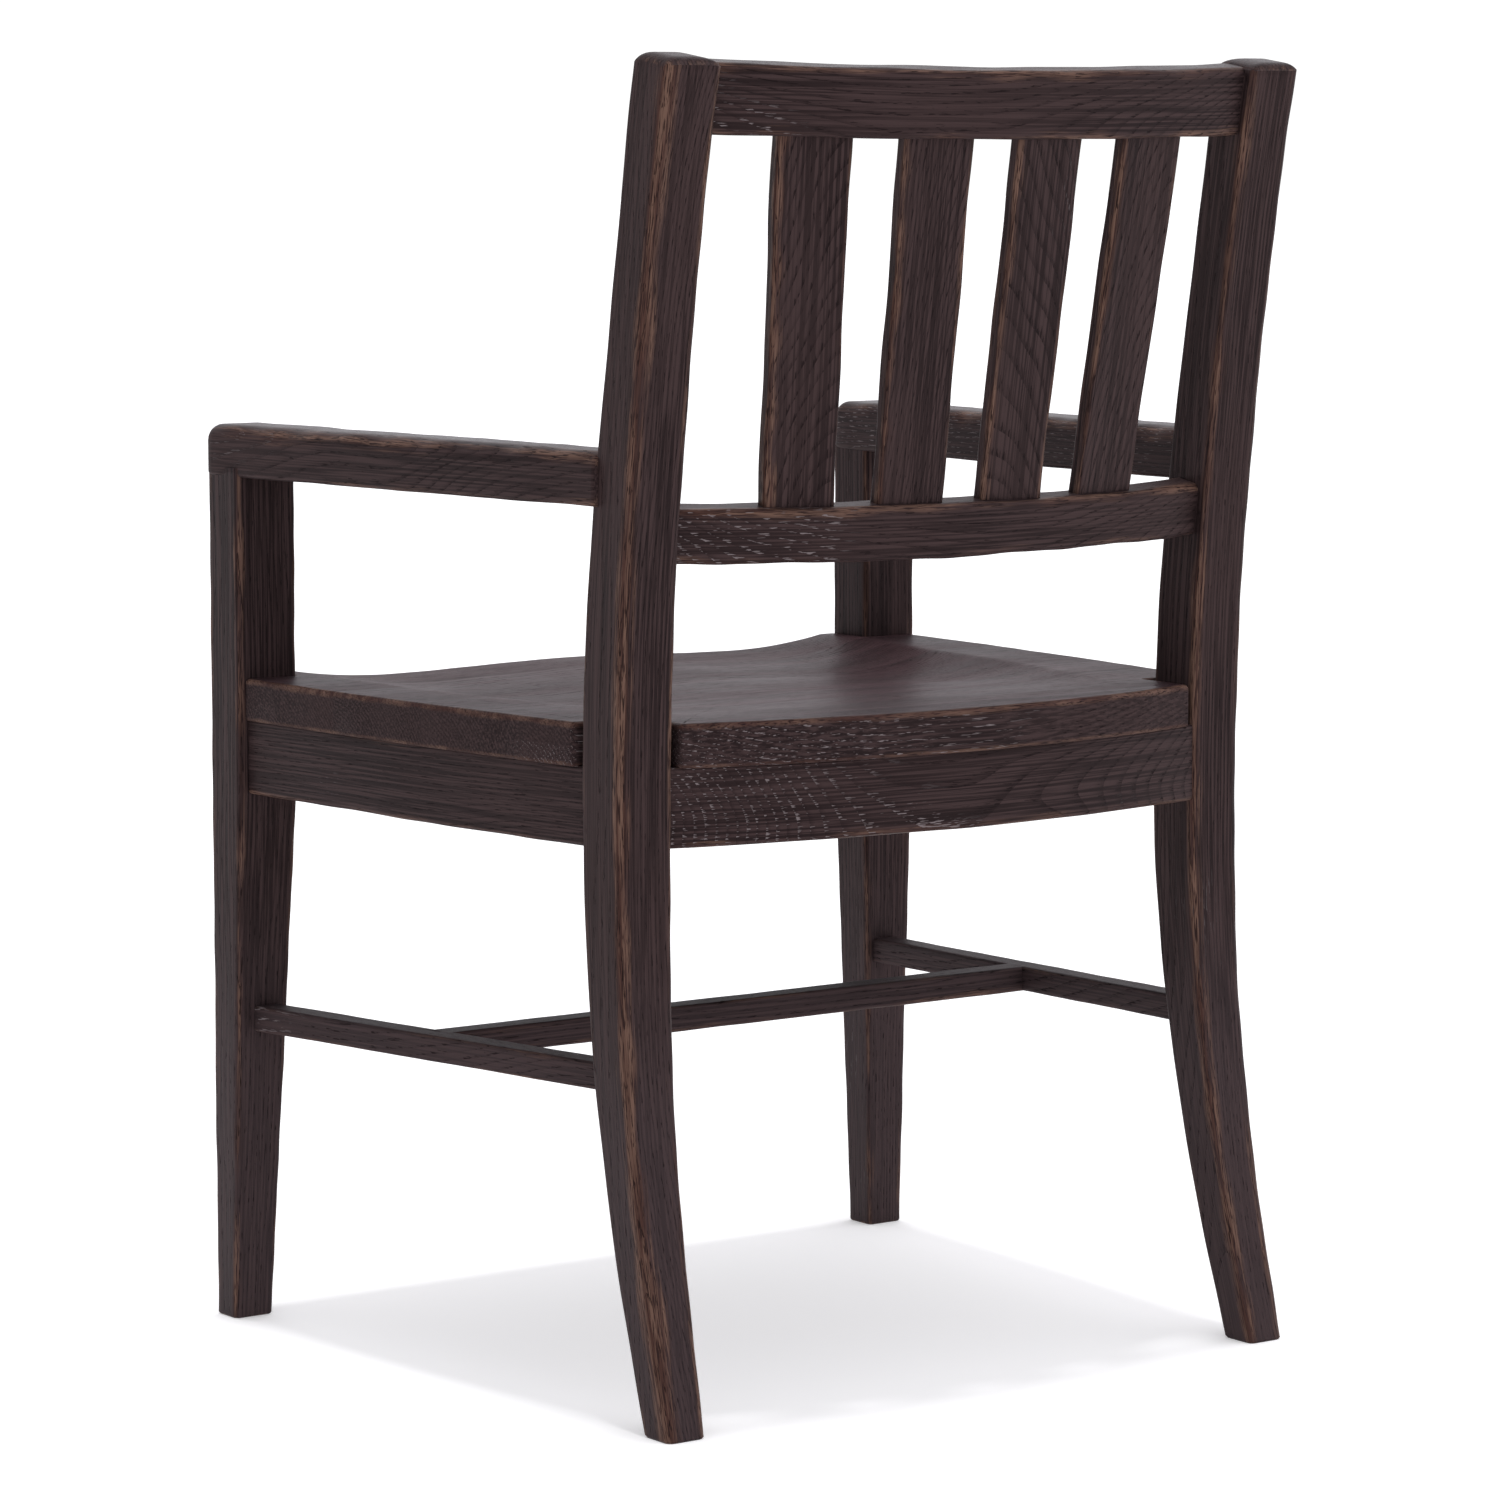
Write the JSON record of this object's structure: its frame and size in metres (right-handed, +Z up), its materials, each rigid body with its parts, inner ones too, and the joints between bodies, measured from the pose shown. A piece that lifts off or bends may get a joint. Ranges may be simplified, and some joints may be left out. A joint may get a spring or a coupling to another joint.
{
  "type": "armchair",
  "caption": "Dark oak dining armchair with a scooped plank seat, raked slat back between curved posts, straight flat arms and an H stretcher.",
  "frame": {"origin": "centre of the bounding box in X and Y, on the floor under the feet", "axes": "+Z up; the chair faces -Y, so the back is at +Y; +X is to the sitter's left"},
  "size_m": [0.628, 0.5541, 0.9333],
  "materials": {
    "dark_oak": "near-black espresso stain on open-grained oak, satin, rubbed through to reddish tan along the corners",
    "block_wood": "bare sawn beech, unstained",
    "screw_steel": "yellow zinc plate"
  },
  "bodies": {
    "root": {"front_leg_left": "dark_oak", "front_leg_right": "dark_oak", "rear_post_left": "dark_oak", "rear_post_right": "dark_oak", "side_apron_left": "dark_oak", "side_apron_right": "dark_oak", "side_stretcher_left": "dark_oak", "side_stretcher_right": "dark_oak", "arm_left": "dark_oak", "arm_right": "dark_oak", "front_apron": "dark_oak", "rear_apron": "dark_oak", "cross_stretcher": "dark_oak", "lower_back_rail": "dark_oak", "crest_rail": "dark_oak", "back_slat_1": "dark_oak", "back_slat_2": "dark_oak", "back_slat_3": "dark_oak", "back_slat_4": "dark_oak", "seat": "dark_oak", "corner_block_front_left": "block_wood", "corner_block_front_right": "block_wood", "corner_block_rear_left": "block_wood", "corner_block_rear_right": "block_wood", "corner_block_screws": "screw_steel", "seat_screws": "screw_steel"}
  },
  "joints": []
}
